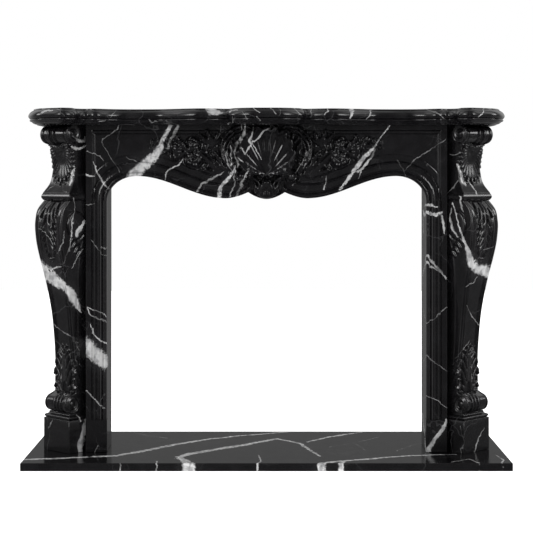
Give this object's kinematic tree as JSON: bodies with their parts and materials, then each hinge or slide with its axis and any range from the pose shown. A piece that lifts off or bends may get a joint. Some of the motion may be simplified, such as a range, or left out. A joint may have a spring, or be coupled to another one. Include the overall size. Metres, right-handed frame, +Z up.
{
  "type": "fireplace mantel",
  "caption": "Carved black marble fireplace mantel with canted console legs, moulded pilasters, an arched frieze with a shell and flower sprays, a serpentine shelf and a hearth slab.",
  "frame": {"origin": "middle of the hearth slab's underside", "axes": "+X along the mantel to the viewer's right, -Y out of the front, +Z up"},
  "size_m": [1.5284, 0.58, 1.125],
  "materials": {
    "black_marble": "polished black marble with white veins",
    "hearth_marble": "polished black marble with white veins"
  },
  "bodies": {
    "root": {"hearth_slab": "hearth_marble", "base_block_left": "black_marble", "base_block_right": "black_marble", "console_left": "black_marble", "console_right": "black_marble", "capital_left": "black_marble", "capital_right": "black_marble", "pilaster_left": "black_marble", "pilaster_right": "black_marble", "pilaster_plinth_left": "black_marble", "pilaster_plinth_right": "black_marble", "inner_return_left": "black_marble", "inner_return_right": "black_marble", "outer_return_left": "black_marble", "outer_return_right": "black_marble", "frieze": "black_marble", "shelf": "black_marble"}
  },
  "joints": []
}
